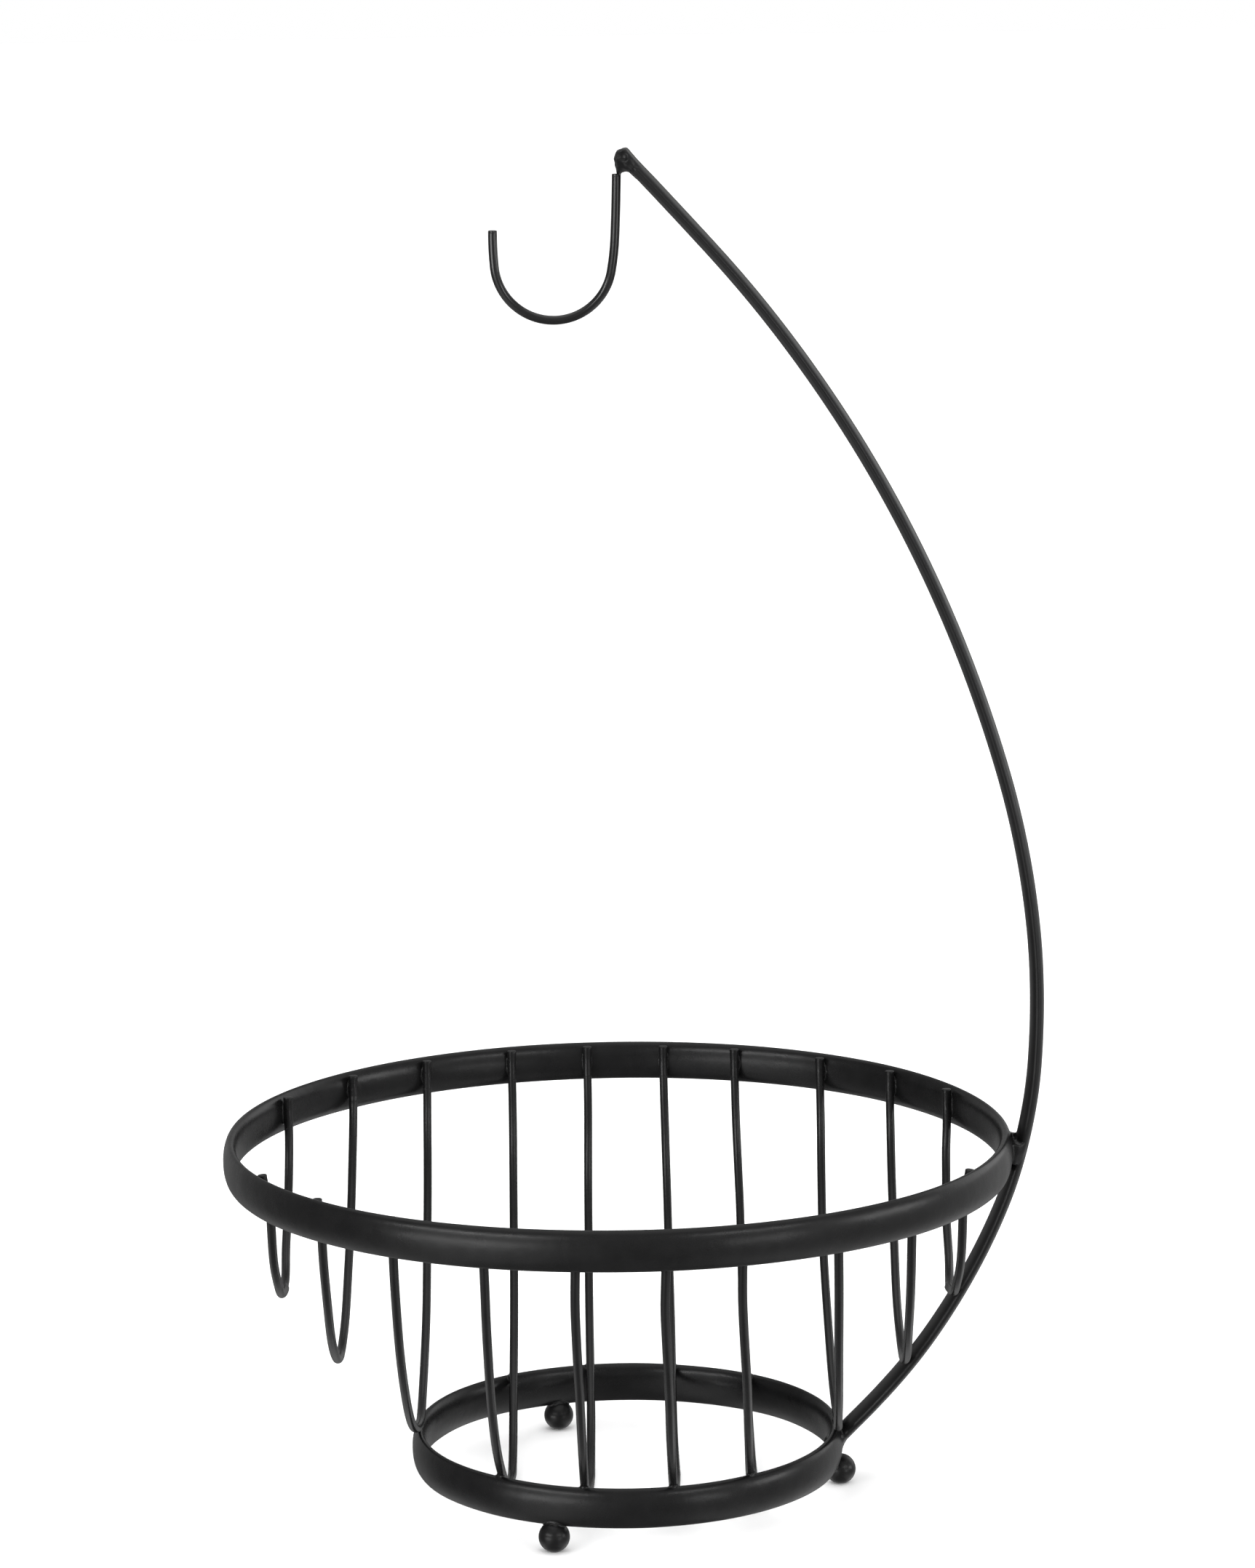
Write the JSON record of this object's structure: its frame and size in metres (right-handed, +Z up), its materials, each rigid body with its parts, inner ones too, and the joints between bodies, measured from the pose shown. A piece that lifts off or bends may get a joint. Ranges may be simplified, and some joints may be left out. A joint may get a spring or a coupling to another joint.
{
  "type": "fruit basket with banana hanger",
  "caption": "Round open fruit basket of bent wires between a wide rim band and a small base band on ball feet, with a tall curved arm that holds a hook over it.",
  "frame": {"origin": "middle of the object's box, on the surface it stands on; the rim's axis is 5.4 mm to the left of it", "axes": "+Z up, +X towards the hanger arm, +Y from the side the picture shows to the back"},
  "size_m": [0.2778, 0.267, 0.456],
  "materials": {
    "band_coat": "satin black powder coat on flattened steel tube",
    "wire_coat": "satin black powder coat on round steel wire",
    "foot_coat": "satin black powder coat on steel balls"
  },
  "bodies": {
    "root": {"rim_ring": "band_coat", "base_ring": "band_coat", "wire_01": "wire_coat", "wire_02": "wire_coat", "wire_03": "wire_coat", "wire_04": "wire_coat", "wire_05": "wire_coat", "wire_06": "wire_coat", "wire_07": "wire_coat", "wire_08": "wire_coat", "wire_09": "wire_coat", "wire_10": "wire_coat", "foot_front": "foot_coat", "foot_back": "foot_coat", "foot_right": "foot_coat", "hanger_arm": "band_coat", "banana_hook": "wire_coat"}
  },
  "joints": []
}
